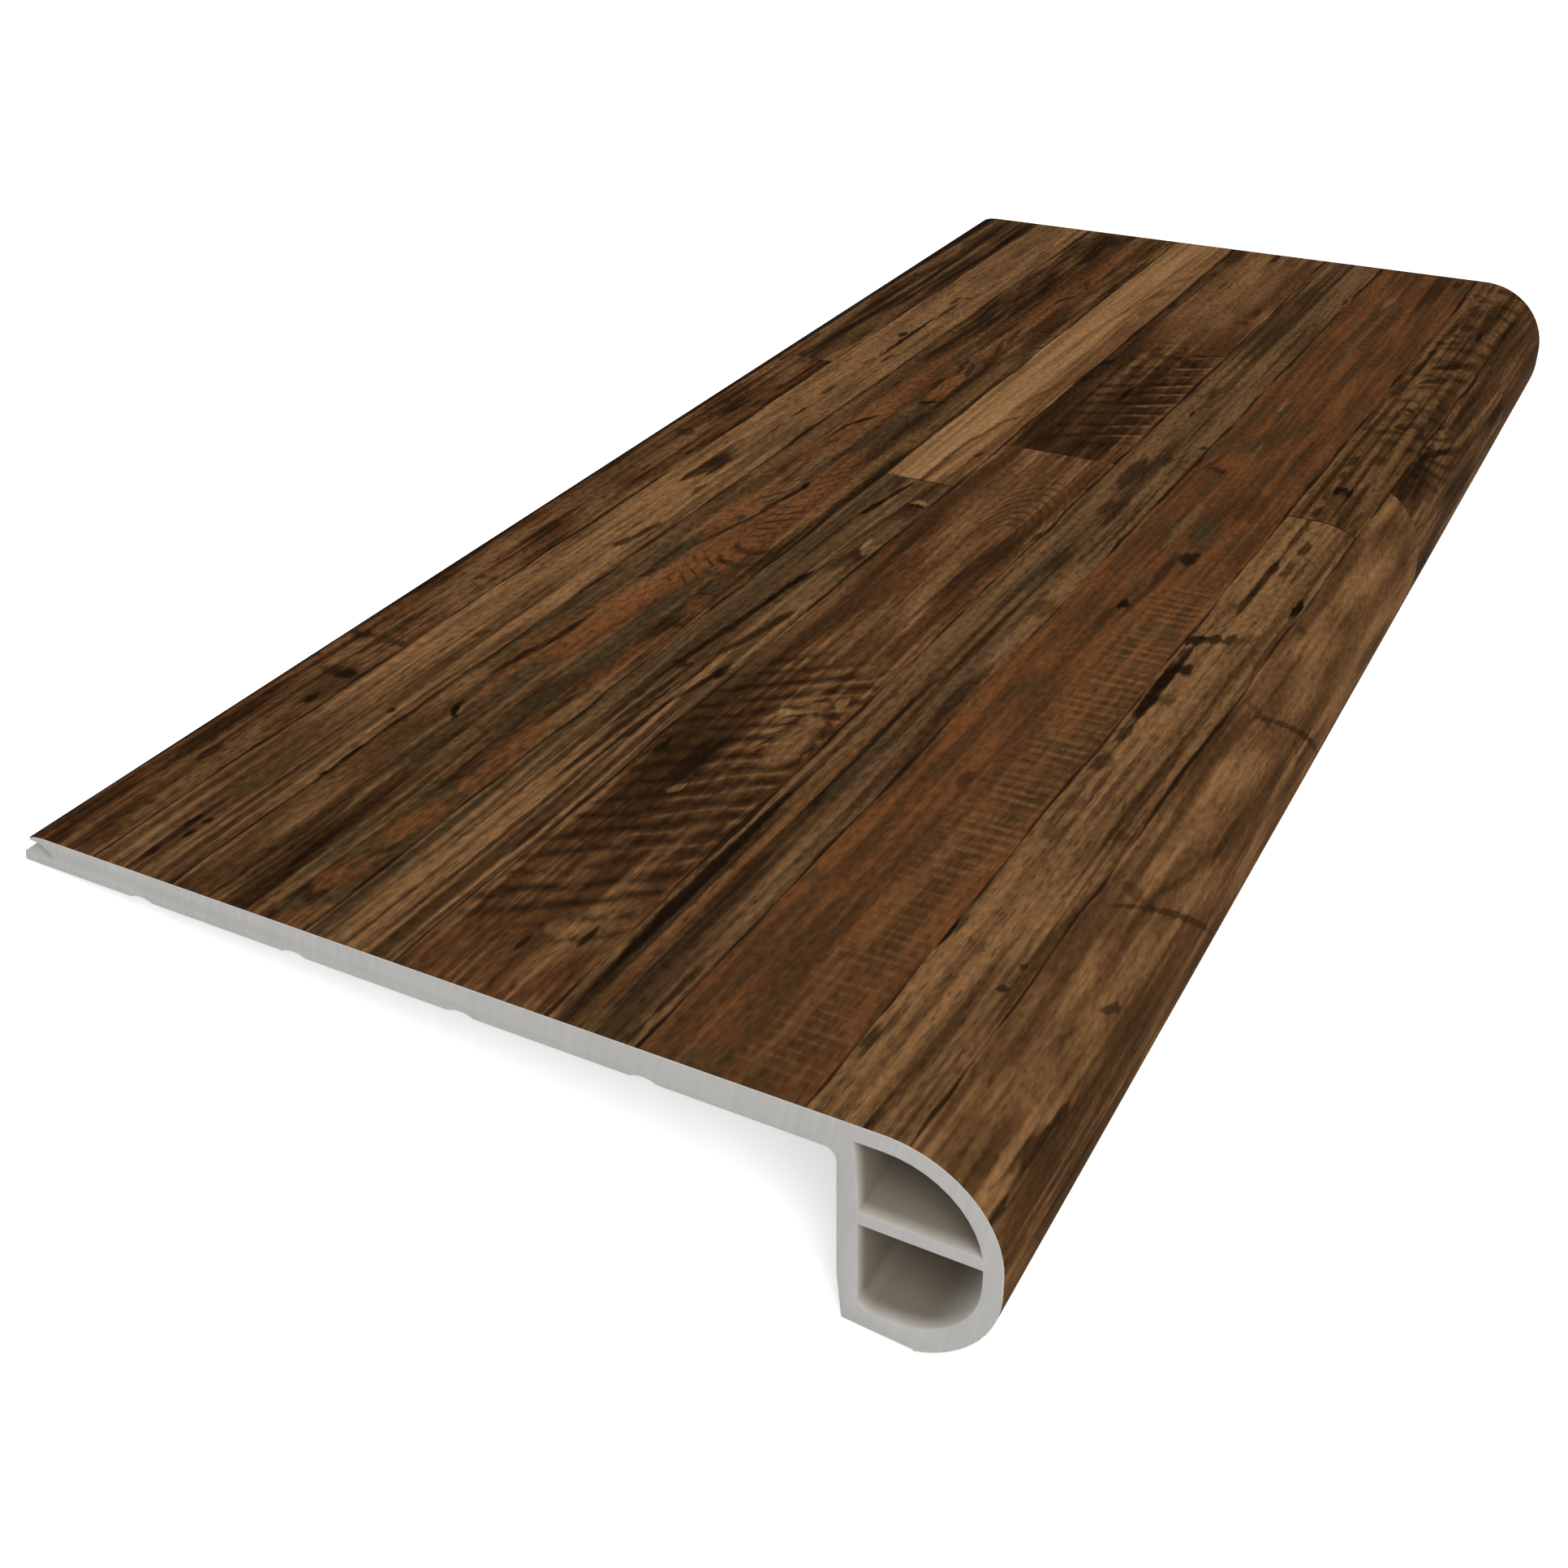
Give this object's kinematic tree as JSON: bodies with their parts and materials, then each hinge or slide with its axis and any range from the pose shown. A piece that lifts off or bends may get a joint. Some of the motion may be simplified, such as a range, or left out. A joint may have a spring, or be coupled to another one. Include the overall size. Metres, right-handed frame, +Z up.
{
  "type": "flush stair nosing",
  "caption": "Hollow-nosed extruded stair nosing board with a click groove along its back edge, a leg behind the round front and a wood-print film over the top.",
  "frame": {"origin": "middle of the bounding box at floor level, with the piece lying unheld on the corner of its lower lip and the corner of its leg", "axes": "+Y along the length, +X from the back edge towards the nose, +Z up from the floor; the board leans 11.8 degrees, nose end up"},
  "size_m": [0.2682, 0.61, 0.0583],
  "materials": {
    "core": "extruded and sawn grey rigid PVC",
    "decor": "satin film printed as strips of reclaimed wood"
  },
  "bodies": {
    "root": {"core_profile": "core", "decor_film": "decor"}
  },
  "joints": []
}
